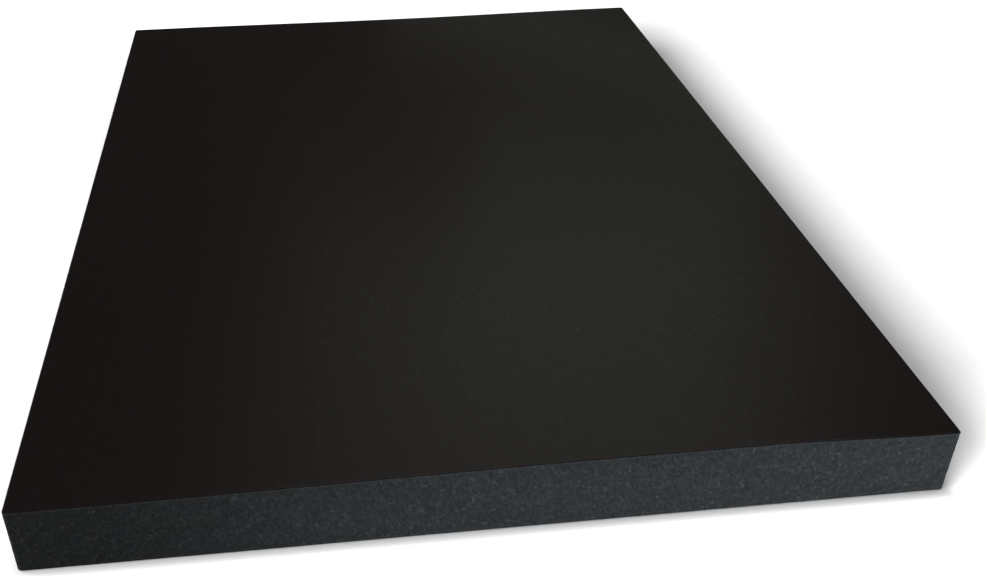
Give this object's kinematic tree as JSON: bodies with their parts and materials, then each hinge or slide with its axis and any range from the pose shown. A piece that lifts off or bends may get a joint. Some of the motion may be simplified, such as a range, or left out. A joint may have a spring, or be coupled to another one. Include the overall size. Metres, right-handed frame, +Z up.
{
  "type": "balance pad",
  "caption": "Flat rectangular foam pad to stand on for balance and physiotherapy exercises: a closed-cell core between thin smooth skins, trimmed square on all sides.",
  "frame": {"origin": "middle of the underside, on the floor that the pad lies on", "axes": "+X across the width, +Y along the length, +Z up through the thickness to the standing surface"},
  "size_m": [0.45, 0.6, 0.037],
  "materials": {
    "cut_foam": "matte",
    "skin": "satin",
    "bond": "matte"
  },
  "bodies": {
    "root": {"foam_core": "cut_foam", "standing_skin": "skin", "base_skin": "skin", "upper_bond_film": "bond", "lower_bond_film": "bond"}
  },
  "joints": []
}
